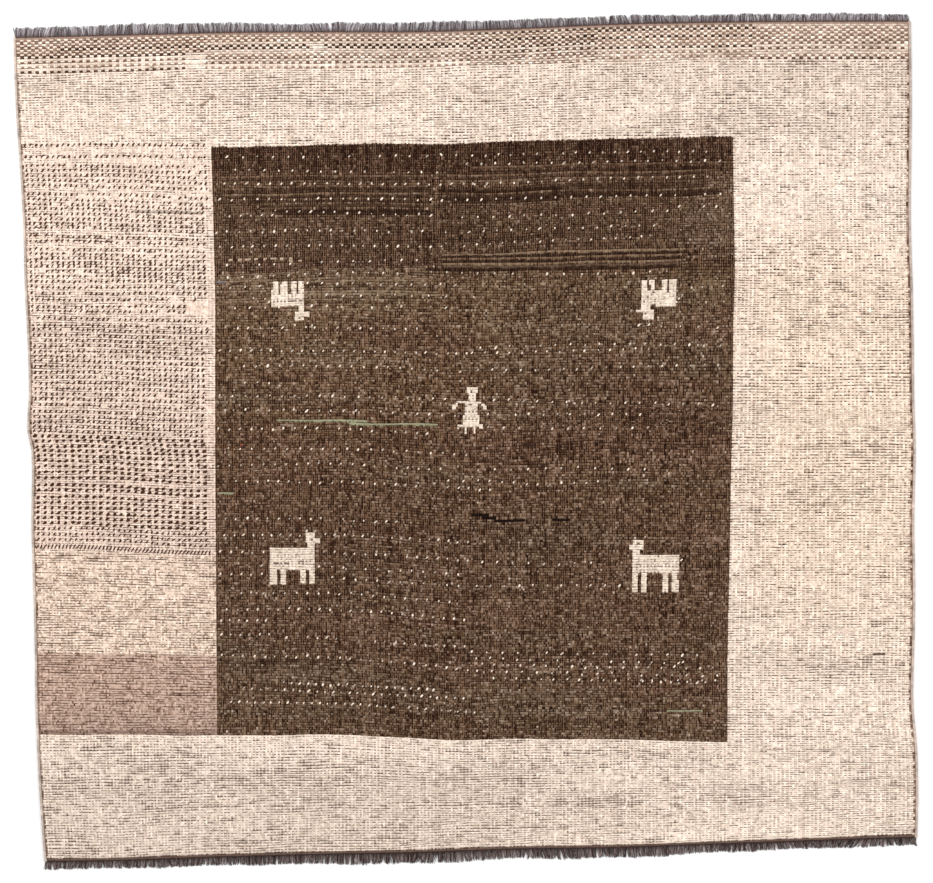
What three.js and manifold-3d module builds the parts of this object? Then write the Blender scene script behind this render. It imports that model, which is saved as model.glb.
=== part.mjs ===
// A hand-knotted gabbeh rug lying flat, in millimetres, +Z up.
// The origin is on the floor under the middle of the rug. +X runs across the warps and +Y along them.
// Five pieces: the knotted pile, two overcast side cords, and two flat-woven ends that carry the cut warps.
import * as THREE from "three";
import { mergeVertices } from "three/addons/utils/BufferGeometryUtils.js";
import Module from "manifold-3d";

const wasm = await Module();
wasm.setup();

// Driving dimensions
const pileHeight = 8; // knotted pile and its foundation, from the floor
const pileInset = 2.4; // how far the clipped pile rounds off inside its edge
const ripple = 0.5; // slow rise and fall of the pile's face, where the loom's tension changed
const cordWidth = 6.5; // side cord, wound with wool
const cordHeight = 5.6;
const endWidth = 6; // flat-woven end between the pile and the warp ends
const endHeight = 3.6;
const endRound = 0.5; // how far the strip's upper edges are set in
const seam = 0.3; // between neighbouring pieces

// The cut warps, gathered into locks that lie flat on the floor.
const locks = {
  perEnd: 148,
  woven: 0.12, // share of a lock's length that is held in the strip
  rootWidth: 8,
  rootHeight: 3.2,
  tipWidth: 5.6,
  tipHeight: 1.8,
  crown: 0.64, // width of the upper face over the width on the floor
  spread: 0.13, // how unevenly they were cut, as a share of the length
  lean: 2.2, // how far a tip lies to one side of its root
};

// Long low waves of the pile's face: how far apart the crests lie across and along, and the wave's share.
const waves = [
  { across: 823, along: 1087, share: 0.28 },
  { across: 823, along: -1087, share: 0.27 },
  { across: 1948, along: 553, share: 0.45 },
];

// Side edges: the outer faces of the two cords at places along the warps. The left one leans in at the bottom.
const sideEdges = [
  { y: 842, left: -907, right: 892 },
  { y: 683, left: -902, right: 894 },
  { y: 563, left: -894, right: 893 },
  { y: 443, left: -887, right: 892 },
  { y: 303, left: -883, right: 896 },
  { y: 183, left: -877, right: 898 },
  { y: 83, left: -875, right: 899 },
  { y: 30, left: -879, right: 901 },
  { y: -28, left: -869, right: 902 },
  { y: -158, left: -870, right: 899 },
  { y: -298, left: -866, right: 901 },
  { y: -418, left: -863, right: 899 },
  { y: -518, left: -862, right: 897 },
  { y: -618, left: -858, right: 905 },
  { y: -718, left: -853, right: 907 },
  { y: -842, left: -844, right: 903 },
];

// Ends: where the warps leave the weaving, and how long they were cut, at places across the rug.
const endEdges = [
  { x: -907, top: 809, bottom: -842, topWarps: 17, bottomWarps: 14 },
  { x: -700, top: 814, bottom: -840, topWarps: 20, bottomWarps: 14 },
  { x: -500, top: 819, bottom: -833, topWarps: 18, bottomWarps: 15 },
  { x: -300, top: 821, bottom: -828, topWarps: 15, bottomWarps: 17 },
  { x: -100, top: 821, bottom: -824, topWarps: 18, bottomWarps: 20 },
  { x: 100, top: 827, bottom: -817, topWarps: 16, bottomWarps: 18 },
  { x: 300, top: 836, bottom: -814, topWarps: 15, bottomWarps: 19 },
  { x: 500, top: 840, bottom: -807, topWarps: 13, bottomWarps: 15 },
  { x: 700, top: 842, bottom: -800, topWarps: 14, bottomWarps: 14 },
  { x: 907, top: 842, bottom: -793, topWarps: 12, bottomWarps: 15 },
];

const acrossSteps = 36; // facets across the rug
const alongSteps = 46; // facets along the rug
const settlingPasses = 4; // rounds that bring a point's two edges into step

// The value of one column of a table at a place, on a smooth curve through its rows.
function smoothAt(table, key, column, at) {
  const rows = [...table].sort((a, b) => a[key] - b[key]);
  const last = rows.length - 1;
  let i = rows.findIndex((row, n) => n < last && at <= rows[n + 1][key]);
  if (i < 0) i = last - 1;
  const slope = (n) => {
    const a = rows[Math.max(n - 1, 0)];
    const b = rows[Math.min(n + 1, last)];
    return (b[column] - a[column]) / (b[key] - a[key]);
  };
  const span = rows[i + 1][key] - rows[i][key];
  const t = THREE.MathUtils.clamp((at - rows[i][key]) / span, 0, 1);
  const rise = t * t * (3 - 2 * t);
  const outOf = t * (1 - t) * (1 - t) * span;
  const into = -t * t * (1 - t) * span;
  return (
    THREE.MathUtils.lerp(rows[i][column], rows[i + 1][column], rise) +
    outOf * slope(i) +
    into * slope(i + 1)
  );
}

const sideAt = (side, y) => smoothAt(sideEdges, "y", side, y);
const endAt = (end, x) => smoothAt(endEdges, "x", end, x);

// The point of the weaving at shares s across and t along, between edges set in from the outer ones.
function woven(s, t, sideInset, endInset) {
  let x = 0;
  let y = 0;
  for (let pass = 0; pass < settlingPasses; pass++) {
    y = THREE.MathUtils.lerp(
      endAt("bottom", x) + endInset,
      endAt("top", x) - endInset,
      t,
    );
    x = THREE.MathUtils.lerp(
      sideAt("left", y) + sideInset,
      sideAt("right", y) - sideInset,
      s,
    );
  }
  return [x, y];
}

const pileSide = cordWidth + seam;
const pileEnd = endWidth + seam;

// Height of the pile's face over the floor.
function faceHeight(x, y) {
  const rise = waves.reduce(
    (sum, { across, along, share }) =>
      sum + share * Math.sin(2 * Math.PI * (x / across + y / along)),
    0,
  );
  return pileHeight - ripple + ripple * rise;
}

function solidOf(positions, indices) {
  const geometry = new THREE.BufferGeometry();
  geometry.setAttribute(
    "position",
    new THREE.Float32BufferAttribute(positions, 3),
  );
  geometry.setIndex(indices);
  return geometry;
}

// The same faces, turned to point out of the closed skin that they make.
function facingOut(positions, indices) {
  const corner = (n) => new THREE.Vector3().fromArray(positions, 3 * n);
  let volume = 0;
  for (let i = 0; i < indices.length; i += 3) {
    const [a, b, c] = indices.slice(i, i + 3).map(corner);
    volume += a.dot(b.cross(c)) / 6;
  }
  return volume < 0 ? indices.reverse() : indices;
}

// Rings of points, one after another along a piece, closed at both ends: one closed skin.
function loft(rings) {
  const count = rings[0].length;
  const positions = rings.flat(2);
  const indices = [];
  for (let r = 0; r < rings.length - 1; r++) {
    for (let i = 0; i < count; i++) {
      const a = r * count + i;
      const b = r * count + ((i + 1) % count);
      indices.push(a, b, a + count, b, b + count, a + count);
    }
  }
  for (let i = 1; i < count - 1; i++) {
    const end = (rings.length - 1) * count;
    indices.push(0, i + 1, i, end, end + i, end + i + 1);
  }
  return { positions, indices: facingOut(positions, indices) };
}

// The loop of shares round the weaving's edge, anticlockwise from its lower left corner.
function edgeLoop() {
  const loop = [];
  for (let i = 0; i < acrossSteps; i++) loop.push([i / acrossSteps, 0]);
  for (let j = 0; j < alongSteps; j++) loop.push([1, j / alongSteps]);
  for (let i = acrossSteps; i > 0; i--) loop.push([i / acrossSteps, 1]);
  for (let j = alongSteps; j > 0; j--) loop.push([0, j / alongSteps]);
  return loop;
}

// The knotted pile: a flat slab with the rug's own outline, clipped edges and a slowly rippled face.
function knottedPile() {
  const rim = [
    { height: 0, inset: 0.8 },
    { height: 1.2, inset: 0 },
    { height: 0.62 * pileHeight, inset: 0 },
    { height: 0.86 * pileHeight, inset: 0.35 * pileInset },
  ];
  const loop = edgeLoop();
  const count = loop.length;
  const positions = [];
  const indices = [];
  for (const { height, inset } of rim) {
    for (const [s, t] of loop) {
      positions.push(...woven(s, t, pileSide + inset, pileEnd + inset), height);
    }
  }
  const faceStart = positions.length / 3;
  for (let j = 0; j <= alongSteps; j++) {
    for (let i = 0; i <= acrossSteps; i++) {
      const [x, y] = woven(
        i / acrossSteps,
        j / alongSteps,
        pileSide + pileInset,
        pileEnd + pileInset,
      );
      positions.push(x, y, faceHeight(x, y));
    }
  }
  const faceIndex = (s, t) =>
    faceStart +
    Math.round(t * alongSteps) * (acrossSteps + 1) +
    Math.round(s * acrossSteps);
  for (let r = 0; r < rim.length; r++) {
    for (let i = 0; i < count; i++) {
      const next = (i + 1) % count;
      const a = r * count + i;
      const b = r * count + next;
      const top = r === rim.length - 1;
      const c = top ? faceIndex(...loop[next]) : b + count;
      const d = top ? faceIndex(...loop[i]) : a + count;
      indices.push(a, b, c, a, c, d);
    }
  }
  for (let j = 0; j < alongSteps; j++) {
    for (let i = 0; i < acrossSteps; i++) {
      const a = faceStart + j * (acrossSteps + 1) + i;
      const d = a + acrossSteps + 1;
      indices.push(a, a + 1, d + 1, a, d + 1, d);
    }
  }
  const outline = loop.map(
    (_, i) => new THREE.Vector2(positions[3 * i], positions[3 * i + 1]),
  );
  for (const [a, b, c] of THREE.ShapeUtils.triangulateShape(outline, [])) {
    indices.push(a, c, b);
  }
  return solidOf(positions, indices);
}

// A side cord: wool wound round the outermost warps, flat where it lies on the floor.
function sideCord(side) {
  const section = [
    { across: 0.12, up: 0 },
    { across: 0.74, up: 0 },
    { across: 0.94, up: 0.16 },
    { across: 1, up: 0.48 },
    { across: 0.86, up: 0.84 },
    { across: 0.52, up: 1 },
    { across: 0.16, up: 0.9 },
    { across: 0, up: 0.6 },
  ];
  const outward = side === "left" ? -1 : 1;
  const share = side === "left" ? 0 : 1;
  const line = [woven(share, 0, cordWidth, 0)];
  for (let j = 0; j <= alongSteps; j++) {
    line.push(woven(share, j / alongSteps, cordWidth, pileEnd));
  }
  line.push(woven(share, 1, cordWidth, 0));
  const rings = line.map(([x, y]) =>
    section.map(({ across, up }) => [
      x + outward * across * cordWidth,
      y,
      up * cordHeight,
    ]),
  );
  const { positions, indices } = loft(rings);
  return solidOf(positions, indices);
}

function manifoldOf({ positions, indices }) {
  const merged = mergeVertices(solidOf(positions, indices), 1e-4);
  return new wasm.Manifold(
    new wasm.Mesh({
      numProp: 3,
      vertProperties: merged.attributes.position.array,
      triVerts: new Uint32Array(merged.index.array),
    }),
  );
}

function geometryOf(manifold) {
  const mesh = manifold.getMesh();
  return solidOf(Array.from(mesh.vertProperties), Array.from(mesh.triVerts));
}

// The flat-woven strip at one end, as rings of four corners across the rug.
function wovenStrip(end) {
  const share = end === "top" ? 1 : 0;
  const round = end === "top" ? -endRound : endRound;
  const rings = [];
  for (let i = 0; i <= acrossSteps; i++) {
    const [x, y] = woven(i / acrossSteps, share, pileSide, 0);
    const [innerX, innerY] = woven(i / acrossSteps, share, pileSide, endWidth);
    rings.push([
      [x, y, 0],
      [innerX, innerY, 0],
      [innerX, innerY - round, endHeight],
      [x, y + round, endHeight],
    ]);
  }
  return loft(rings);
}

// One lock of cut warps: four-sided, flat on the floor, thinner and a little to one side at its tip.
function warpLock(end, n) {
  const outward = end === "top" ? 1 : -1;
  const share = end === "top" ? 1 : 0;
  const [x, y] = woven((n + 0.5) / locks.perEnd, share, pileSide, 0);
  const uneven = 0.5 * Math.sin(2.4 * n) + 0.5 * Math.sin(0.37 * n + 1);
  const length = endAt(`${end}Warps`, x) * (1 + locks.spread * uneven);
  const lean = locks.lean * Math.sin(0.23 * n + 2 * share);
  const ring = (middle, at, width, height) => {
    const crown = width * locks.crown;
    return [
      [middle - width / 2, at, 0],
      [middle + width / 2, at, 0],
      [middle + crown / 2, at, height],
      [middle - crown / 2, at, height],
    ];
  };
  const root = y - outward * locks.woven * length;
  const tip = y + outward * length;
  return loft([
    ring(x, root, locks.rootWidth, locks.rootHeight),
    ring(x + lean, tip, locks.tipWidth, locks.tipHeight),
  ]);
}

// A flat-woven end with its cut warps.
function endWithWarps(end) {
  const pieces = [manifoldOf(wovenStrip(end))];
  for (let n = 0; n < locks.perEnd; n++) {
    pieces.push(manifoldOf(warpLock(end, n)));
  }
  return geometryOf(wasm.Manifold.union(pieces));
}

const creamWool = new THREE.MeshStandardMaterial({
  color: 0xddc9b0,
  roughness: 0.95,
  metalness: 0,
});
const cordWool = new THREE.MeshStandardMaterial({
  color: 0xa08d80,
  roughness: 0.95,
  metalness: 0,
});
const warpWool = new THREE.MeshStandardMaterial({
  color: 0x6f6465,
  roughness: 0.95,
  metalness: 0,
});

function piece(name, geometry, material) {
  const mesh = new THREE.Mesh(geometry, material);
  mesh.name = name;
  return mesh;
}

const rug = new THREE.Group();
rug.add(piece("knotted_pile", knottedPile(), creamWool));
rug.add(piece("side_cord_left", sideCord("left"), cordWool));
rug.add(piece("side_cord_right", sideCord("right"), cordWool));
rug.add(piece("woven_end_top", endWithWarps("top"), warpWool));
rug.add(piece("woven_end_bottom", endWithWarps("bottom"), warpWool));

// The middle of the length and of the width is set on the origin.
const middle = new THREE.Box3().setFromObject(rug).getCenter(new THREE.Vector3());
rug.position.set(-middle.x, -middle.y, 0);

export default rug;
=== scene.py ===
import bpy
import numpy as np
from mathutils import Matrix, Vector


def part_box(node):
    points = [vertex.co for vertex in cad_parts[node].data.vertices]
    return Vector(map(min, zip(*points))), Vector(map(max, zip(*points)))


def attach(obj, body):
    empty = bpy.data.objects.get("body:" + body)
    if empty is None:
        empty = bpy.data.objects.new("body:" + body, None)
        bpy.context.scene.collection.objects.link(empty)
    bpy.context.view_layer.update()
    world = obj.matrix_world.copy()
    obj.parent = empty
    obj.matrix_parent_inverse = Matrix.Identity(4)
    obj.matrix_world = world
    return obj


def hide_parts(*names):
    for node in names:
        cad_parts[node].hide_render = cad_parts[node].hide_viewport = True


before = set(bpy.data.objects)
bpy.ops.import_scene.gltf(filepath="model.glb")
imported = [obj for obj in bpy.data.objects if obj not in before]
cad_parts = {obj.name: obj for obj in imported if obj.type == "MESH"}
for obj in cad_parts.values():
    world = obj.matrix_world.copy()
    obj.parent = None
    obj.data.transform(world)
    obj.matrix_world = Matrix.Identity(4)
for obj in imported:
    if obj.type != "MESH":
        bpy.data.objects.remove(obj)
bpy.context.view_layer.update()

print("frame read:", ", ".join(sorted(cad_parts)))

# Places are read off the photograph in its pixels, 933 by 883, and a pixel is 2 mm.
photo = {"middle": (465.75, 441.25), "pixel": 0.002, "width": 1.866}
draw = np.random.default_rng(83)


def toX(px):
    return (np.asarray(px, float) - photo["middle"][0]) * photo["pixel"]


def toY(py):
    return (photo["middle"][1] - np.asarray(py, float)) * photo["pixel"]


def toPx(x):
    return np.asarray(x) / photo["pixel"] + photo["middle"][0]


def toPy(y):
    return photo["middle"][1] - np.asarray(y) / photo["pixel"]


def linear(rgb):
    # a screen colour from 0 to 255 as light, by the usual curve
    c = np.asarray(rgb, float) / 255
    return np.where(c < 0.04045, c / 12.92, ((c + 0.055) / 1.055) ** 2.4)


def smooth(low, high, value):
    # 0 below low, 1 above high, and an even S between
    t = np.clip((value - low) / (high - low), 0, 1)
    return t * t * (3 - 2 * t)


def clouds(shape, alongRow, acrossRows):
    # random numbers blurred by a Gaussian in each direction and brought back to a spread of 1
    down = np.fft.fftfreq(shape[0])[:, None] * acrossRows
    along = np.fft.rfftfreq(shape[1])[None, :] * alongRow
    blur = np.exp(-2 * np.pi**2 * (down**2 + along**2))
    field = np.fft.irfft2(np.fft.rfft2(draw.standard_normal(shape)) * blur, s=shape)
    return field / field.std()


def slowDraws(along, low, high, count):
    # random numbers at even places from low to high, with straight lines between them
    return np.interp(along, np.linspace(low, high, count), draw.standard_normal(count))


# Camera, stage and lights

studio = {
    "lens": 85, "sensor": 36, "aim": (0.0015, -0.0005, 0.0075), "floor": 6.0, "under": -0.0003, "sky": 0.7,
    "lamps": (("softLeft", (-2.6, 1.6, 3.0), 95), ("softRight", (2.8, -0.6, 3.2), 70)), "lampSize": 2.4,
}


def setStage():
    scene = bpy.context.scene
    camera = bpy.data.objects.new("overhead", bpy.data.cameras.new("overhead"))
    camera.data.lens = studio["lens"]
    camera.data.sensor_width = studio["sensor"]
    # straight above, as far as the lens needs for the photograph's width
    x, y, z = studio["aim"]
    camera.location = (x, y, z + photo["width"] * studio["lens"] / studio["sensor"])
    scene.collection.objects.link(camera)
    scene.camera = camera

    floorMesh = bpy.data.meshes.new("studioFloor")
    corners = [(a * studio["floor"], b * studio["floor"], studio["under"])
               for a, b in ((-1, -1), (1, -1), (1, 1), (-1, 1))]
    floorMesh.from_pydata(corners, [], [(0, 1, 2, 3)])
    floor = bpy.data.objects.new("studioFloor", floorMesh)
    scene.collection.objects.link(floor)
    paper = bpy.data.materials.new("studioPaper")
    paper.use_nodes = True
    shader = paper.node_tree.nodes["Principled BSDF"]
    shader.inputs["Base Color"].default_value = (0.9, 0.9, 0.9, 1)
    shader.inputs["Roughness"].default_value = 0.9
    floorMesh.materials.append(paper)

    world = bpy.data.worlds.new("studio")
    world.use_nodes = True
    world.node_tree.nodes["Background"].inputs["Color"].default_value = (1, 1, 1, 1)
    world.node_tree.nodes["Background"].inputs["Strength"].default_value = studio["sky"]
    scene.world = world
    for name, place, power in studio["lamps"]:
        lamp = bpy.data.objects.new(name, bpy.data.lights.new(name, "AREA"))
        lamp.data.shape = "SQUARE"
        lamp.data.size = studio["lampSize"]
        lamp.data.energy = power
        lamp.location = place
        # turned to look at the middle of the rug
        away = -lamp.location
        lamp.rotation_euler = away.to_track_quat("-Z", "Y").to_euler()
        scene.collection.objects.link(lamp)
    scene.view_settings.view_transform = "Standard"


setStage()
print("stage set")


# The rug's edges, from the slab's widest ring

def nodePoints(node):
    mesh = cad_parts[node].data
    points = np.empty(len(mesh.vertices) * 3)
    mesh.vertices.foreach_get("co", points)
    return points.reshape(-1, 3)


def readEdges():
    points = nodePoints("knotted_pile")
    widest = 0.0012  # height of that ring over the floor
    ring = points[np.abs(points[:, 2] - widest) < 0.0002][:, :2]
    ring = np.unique(np.round(ring, 6), axis=0)
    ring = ring[np.argsort(np.arctan2(ring[:, 1], ring[:, 0]))]
    ring = np.roll(ring, -np.argmax(-ring[:, 0] - ring[:, 1]), axis=0)
    bottomRight = np.argmax(ring[:, 0] - ring[:, 1])
    topRight = np.argmax(ring[:, 0] + ring[:, 1])
    topLeft = np.argmax(-ring[:, 0] + ring[:, 1])
    sides = {
        "bottom": ring[: bottomRight + 1],
        "right": ring[bottomRight : topRight + 1],
        "top": ring[topRight : topLeft + 1][::-1],
        "left": np.vstack([ring[topLeft:], ring[:1]])[::-1],
    }
    return ring, sides


rim, sides = readEdges()


def sideX(side, y):
    return np.interp(y, sides[side][:, 1], sides[side][:, 0])


def endY(end, x):
    return np.interp(x, sides[end][:, 0], sides[end][:, 1])


# How the knots lie: warps run up the rug and rows of knots run across it, both slightly bent.
loom = {
    "across": 482,
    "rows": 328,
    "field": (106, 392, 46, 284),  # first and last warp, first and last row of the dark field
    "rowStations": (15, 217, 340, 470, 600, 730, 915),
    "rowLines": {  # a row, and its height in the photograph at each of those places
        328: (39.5, 35, 33.6, 32, 28, 24, 23),
        314: (73.5, 69, 67.5, 65.5, 62.5, 59.5, 58.5),
        284: (147, 147, 144.7, 143, 138.5, 137, 137),
        262.5: (195.5, 200, 198.5, 199.5, 196.5, 194, 194),
        243.7: (244, 247, 246.3, 245, 238, 236, 236),
        231.8: (276, 277, 272.6, 273, 274, 271, 271),
        201.6: (347.5, 350.3, 351, 352.4, 349.5, 346.4, 346),
        183.2: (392, 396, 396.7, 400, 401.7, 404.9, 405),
        169.9: (424.4, 429, 429, 432, 428, 428, 428),
        155.3: (460.4, 465, 464, 470, 468, 469, 469),
        119.9: (548.5, 552, 553, 560.5, 561, 561, 561),
        65: (685, 688, 691, 697, 695, 695, 695),
        46: (735, 735, 734.5, 740, 739.5, 742, 742),
        0: (859, 855, 852.6, 849.5, 846, 841, 835),
    },
    "fieldLeft": ((150, 211), (210, 213), (300, 215), (450, 215), (740, 217)),
    "fieldRight": ((150, 733), (270, 735), (330, 733), (400, 733), (480, 731), (540, 730), (660, 727.5),
                   (740, 727.5)),
}


def rowY(row, x):
    # the height of a row at x: the table read along the warps first, then along the row
    lines = sorted(loom["rowLines"])
    heights = toY([loom["rowLines"][line] for line in lines])
    stations = np.array([np.interp(row, lines, heights[:, k]) for k in range(heights.shape[1])])
    place = np.interp(x, toX(loom["rowStations"]), np.arange(len(stations)))
    left = np.clip(place.astype(int), 0, len(stations) - 2)
    part = place - left
    part = 0.5 * part + 0.5 * part * part * (3 - 2 * part)
    low = np.take_along_axis(stations, left[None], 0)[0]
    high = np.take_along_axis(stations, left[None] + 1, 0)[0]
    return low + part * (high - low)


def warpX(warp, y):
    # the place of a warp at height y: even between the two edges and the two sides of the field
    marks = [0, loom["field"][0], loom["field"][1], loom["across"]]
    lines = [sideX("left", y)]
    for name in ("fieldLeft", "fieldRight"):
        steps = np.array(loom[name], float)[::-1]
        lines.append(np.interp(y, toY(steps[:, 0]), toX(steps[:, 1])))
    lines.append(sideX("right", y))
    x = lines[0]
    for k in range(3):
        part = np.clip((warp - marks[k]) / (marks[k + 1] - marks[k]), 0, 1)
        x = x + part * (lines[k + 1] - lines[k])
    return x


def lay(warp, row):
    # where a warp and a row cross, by going back and forth between the two until they settle
    x = np.interp(warp, [0, loom["across"]], [-0.88, 0.9])
    y = np.interp(row, [0, loom["rows"]], [-0.82, 0.82])
    for _ in range(6):
        x = warpX(warp, y)
        y = rowY(row, x)
        toTop = smooth(284, 328, row)
        toBottom = smooth(46, 0, row)
        y = y + toTop * (endY("top", x) - rowY(np.full_like(row, 328), x))
        y = y + toBottom * (endY("bottom", x) - rowY(np.zeros_like(row), x))
    return x, y


rowIndex, warpIndex = np.meshgrid(
    np.arange(loom["rows"]) + 0.5, np.arange(loom["across"]) + 0.5, indexing="ij"
)
knotX, knotY = lay(warpIndex, rowIndex)
knotPx, knotPy = toPx(knotX), toPy(knotY)
chartShape = rowIndex.shape
print("knots laid:", chartShape)


# The chart: the wool of each knot, how much weft shows under it and how much warp beside it

wools = {
    "cream": (240, 220, 203),
    "warmCream": (239, 216, 195),
    "greyCream": (228, 209, 193),
    "pinkCream": (232, 206, 189),
    "beige": (232, 208, 189),
    "mauve": (197, 168, 151),
    "darkMauve": (150, 125, 112),
    "bandLight": (242, 223, 206),
    "bandPink": (160, 129, 111),
    "bandMid": (128, 99, 83),
    "bandDark": (66, 42, 30),
    "brownDot": (56, 34, 22),
    "weftPale": (68, 44, 32),
    "weftBrown": (90, 60, 43),
    "weftDark": (38, 22, 14),
    "weftField": (34, 16, 6),
    "paleWarp": (144, 113, 90),
    "lineDark": (30, 14, 6),
    "linePale": (150, 130, 108),
    "green": (156, 157, 127),
    "grey": (140, 132, 120),
    "red": (160, 60, 45),
    "ivory": (238, 220, 201),
}
wool = {name: np.array(rgb, float) for name, rgb in wools.items()}


def inside(x0, y0, x1, y1):
    # the knots in a box of the photograph
    return (knotPx > x0) & (knotPx < x1) & (knotPy > y0) & (knotPy < y1)


def onLine(x0, y0, x1, y1, reach):
    # the knots along a straight line in the photograph, up to reach pixels above or below it
    line = y0 + (knotPx - x0) / (x1 - x0) * (y1 - y0)
    return (knotPx > x0) & (knotPx < x1) & (np.abs(knotPy - line) < reach)


def paint(chart, where, rgb, share=1.0):
    amount = (where * share)[..., None]
    chart[:] = chart * (1 - amount) + np.asarray(rgb, float) * amount


# Cream borders

def chartBorders():
    left, _, bottom, _ = loom["field"]
    chart = np.empty(chartShape + (3,))
    chart[:] = wool["cream"]
    chart[:] = chart + 3 * clouds(chartShape, 90, 3)[..., None]
    # warmer wool in the middle of the right border, greyer near the bottom
    warm = smooth(700, 790, knotPx) * smooth(180, 300, knotPy) * smooth(720, 520, knotPy)
    paint(chart, warm, wool["warmCream"], 0.8)
    grey = smooth(735, 790, knotPy) * smooth(760, 380, knotPx)
    paint(chart, grey, wool["greyCream"], 0.9)
    # left panel, from the dotted rows down to the mauve
    panel = warpIndex < left
    dotted = panel & (rowIndex > 118.5) & (rowIndex < 285)
    paint(chart, dotted, wool["pinkCream"], 0.45 + 0.35 * smooth(250, 130, rowIndex))
    beige = panel & (rowIndex > 78) & (rowIndex <= 118.5)
    paint(chart, beige, wool["beige"])
    mauve = panel & (rowIndex > bottom) & (rowIndex <= 78)
    paint(chart, mauve, wool["mauve"])
    paint(chart, mauve * smooth(68, 46, rowIndex), wool["mauve"] * 0.93)
    paint(chart, mauve & (rowIndex < 48.5), wool["darkMauve"])
    return chart, beige, mauve


chart, beige, mauve = chartBorders()

# The weft shows between the rows: faintly under every other knot, and here and there as a dark dash.
dashes = clouds(chartShape, 1.2, 0.3)
drift = clouds(chartShape, 45, 5)
clusters = clouds(chartShape, 18, 3)
pecks = draw.standard_normal(chartShape)
rowMood = draw.standard_normal(chartShape[0])[:, None]
everyOther = 1 - 2 * (warpIndex.astype(int) % 2)
weftGap = 0.41 + 0.29 * everyOther + 0.28 * pecks + 0.23 * dashes + 0.1 * clusters + 0.05 * drift
# how much more of it shows at each height of the photograph
weftGap += np.interp(knotPy, (30, 130, 160, 280, 430, 620, 740, 780, 850),
                     (0.16, 0.15, -0.1, 0.0, 0.18, 0.05, 0.06, 0.16, 0.12))
weftGap += 0.2 * smooth(745, 765, knotPy) * smooth(240, 280, knotPx) * smooth(620, 480, knotPx)
longDash = clouds(chartShape, 1.7, 0.25) + (0.35 - 0.2 * (knotPx > 735)) * rowMood + 0.3 * clusters
longDash = longDash + 0.5 * smooth(725, 760, knotPy) * smooth(780, 650, knotPx)
strong = smooth(1.45, 2.1, longDash) * (0.66 + 0.34 * everyOther)
weftGap = np.where(beige | mauve, 0.76 + 0.42 * longDash + 0.36 * pecks + 0.22 * everyOther, weftGap)
weftGap = np.maximum(np.clip(weftGap, 0, 1), 2.5 * strong)
weft = np.empty(chartShape + (3,))
weft[:] = wool["weftPale"]
paint(weft, beige, wool["weftBrown"], 0.2)
paint(weft, mauve, 0.6 * wool["weftBrown"] + 0.4 * wool["weftDark"])
paint(weft, strong, wool["weftDark"])
paint(chart, strong, wool["weftDark"], 0.18)
warpTone = draw.standard_normal(chartShape[1])[None, :]
warpGap = np.clip(0.12 + 0.1 * warpTone + 0.1 * clouds(chartShape, 0.5, 5), 0, 0.8)
# the last knots beside the cords are half hidden by dark weft turns
outermost = (warpIndex < 1) | (warpIndex > loom["across"] - 1)
hidden = np.clip(0.25 + 0.25 * (knotPx > 465) + 0.3 * pecks, 0, 0.9)
paint(chart, outermost, wool["weftBrown"], hidden)
# single knots are darker more often than they are paler
speck = draw.standard_normal(chartShape)
speck = np.where(speck < 0, 1.45 * speck, 0.45 * speck)
speckSize = np.where(beige | mauve, 19, 10)
uneven = 4 * clouds(chartShape, 1.2, 0.3) + 2.5 * clouds(chartShape, 0.6, 10)
chart += (speckSize * speck + uneven)[..., None]


# The dark field

fieldTones = (  # height in the photograph, then the wool's mean colour there
    (150, (40, 18, 7)), (172, (47, 25, 12)), (190, (63, 44, 27)), (215, (54, 35, 19)), (262, (54, 34, 19)),
    (283, (98, 79, 58)), (400, (81, 58, 39)), (540, (72, 50, 34)), (742, (81, 61, 44)),
)
fieldLines = (  # single rows of another shade: from, to, where its height was read, that height, shade
    (217, 430, 300, 175.5, 0.3), (225, 430, 300, 178.6, -0.6), (270, 430, 340, 187.4, -0.75),
    (217, 430, 300, 190.6, -0.6), (217, 430, 300, 193, 0.3), (217, 430, 300, 195.4, -0.65),
    (225, 430, 300, 201.8, -0.7), (262, 430, 340, 205, -0.8), (266, 430, 340, 207.4, 0.2),
    (272, 430, 340, 210.2, -1.0), (275, 430, 360, 214.8, -0.85),
    (470, 735, 560, 166.4, 0.35), (450, 720, 560, 169.8, -0.5), (450, 720, 560, 173, 0.35),
    (450, 700, 560, 175.8, -0.5), (440, 700, 560, 178.6, 0.3), (450, 700, 560, 186.4, -0.5),
    (440, 560, 500, 191.6, -0.9), (450, 700, 560, 189, -0.5), (450, 720, 560, 193.8, -0.8),
    (440, 720, 560, 197.4, -0.95), (450, 560, 500, 201, -0.7),
    (440, 688, 560, 252.8, 0.75), (440, 688, 560, 255.2, -0.9), (440, 684, 560, 257.6, 0.5),
    (440, 684, 560, 259.9, -0.8), (440, 684, 560, 262.2, 0.6), (440, 680, 560, 264.6, -0.95),
    (440, 680, 560, 266.9, 0.45), (425, 678, 560, 269.2, -1.0),
    (217, 305, 260, 274.4, 0.35), (305, 430, 350, 278.2, 0.45), (217, 262, 240, 281.3, 0.45),
    (303, 430, 350, 281.7, 0.5), (217, 262, 240, 286, 0.3), (303, 440, 350, 290.6, 0.55),
    (217, 262, 240, 291.2, 0.4), (303, 440, 350, 295.4, 0.6), (217, 270, 240, 301, 0.45),
    (303, 430, 350, 300.4, 0.3),
    (217, 340, 260, 661, -0.35), (217, 340, 260, 664, -0.35), (217, 340, 260, 667, -0.35),
)


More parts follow.
